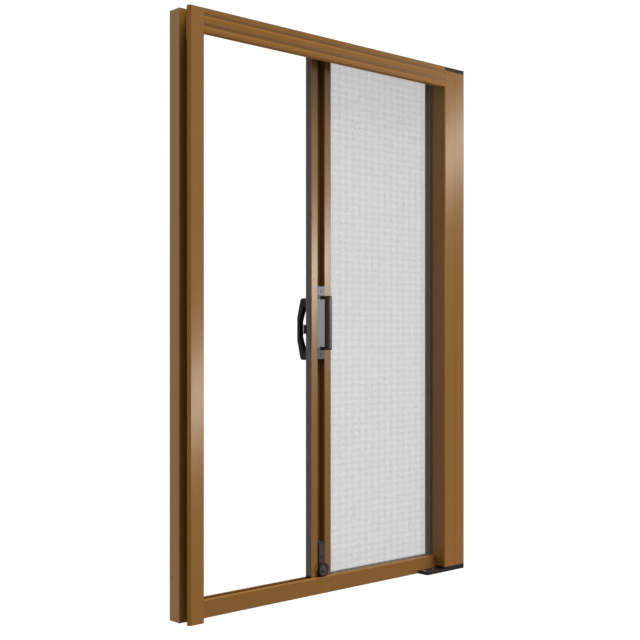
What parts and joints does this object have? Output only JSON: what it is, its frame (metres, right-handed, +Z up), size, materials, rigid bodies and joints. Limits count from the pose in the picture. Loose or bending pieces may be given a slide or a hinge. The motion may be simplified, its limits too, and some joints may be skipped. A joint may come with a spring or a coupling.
{
  "type": "retractable screen door",
  "caption": "Retractable insect screen door with a bronze frame, a sliding pull bar with handles and a sill wheel, and a side housing for the wound screen.",
  "frame": {"origin": "on the underside of the sill, halfway across the front, in the plane of the screen", "axes": "+Z up, front towards -Y, the pull bar slides along X, the housing is at +X"},
  "size_m": [1.412, 0.164, 2.1],
  "materials": {
    "bronze": "satin bronze coating on aluminium",
    "black_plastic": "moulded, slightly satin",
    "seal": "matt",
    "grey_metal": "satin",
    "dark_metal": "satin black",
    "steel": "bright",
    "mill_aluminium": "mill finish",
    "screen": "woven coated glass fibre"
  },
  "bodies": {
    "frame": {"jamb_trim": "bronze", "jamb_trim_cap": "bronze", "jamb_channel": "bronze", "header_end_plate": "bronze", "strike_plate": "steel", "header_cover": "bronze", "header_web": "bronze", "header_track": "bronze", "sill_track": "bronze", "housing_body": "bronze", "housing_cover": "bronze", "housing_top_cap": "black_plastic", "housing_foot": "black_plastic", "foot_screws": "steel", "roller_tube": "mill_aluminium", "roller_plugs": "black_plastic", "wound_screen": "screen"},
    "sliding_bar": {"pull_bar": "bronze", "lead_seal": "seal", "lock_faceplate": "dark_metal", "screen_retainer": "black_plastic", "bottom_guide": "black_plastic", "top_guide": "black_plastic", "lock_case": "dark_metal", "handle_plate": "grey_metal", "plate_screws": "steel", "pull_handle": "dark_metal", "bow_handle": "black_plastic", "latch_knob": "black_plastic", "wheel_carrier": "black_plastic", "wheel_axle": "steel", "carrier_screw": "dark_metal", "screen_cloth": "screen"},
    "wheel": {"sill_wheel": "black_plastic"}
  },
  "joints": [
    {"name": "bar_slide", "type": "slide", "parent": "frame", "child": "sliding_bar", "axis": [1, 0, 0], "range_m": [-0.547, 0.556], "deforming": ["screen_cloth"]},
    {"name": "wheel_roll", "type": "hinge", "parent": "sliding_bar", "child": "wheel", "pos_m": [-0.04215, -0.0215, 0.0863], "axis": [0, 1, 0], "range_deg": [-1400, 1400]}
  ],
  "couplings": [
    {"joint": "wheel_roll", "follows": "bar_slide", "rad_per_m": 38.462}
  ]
}
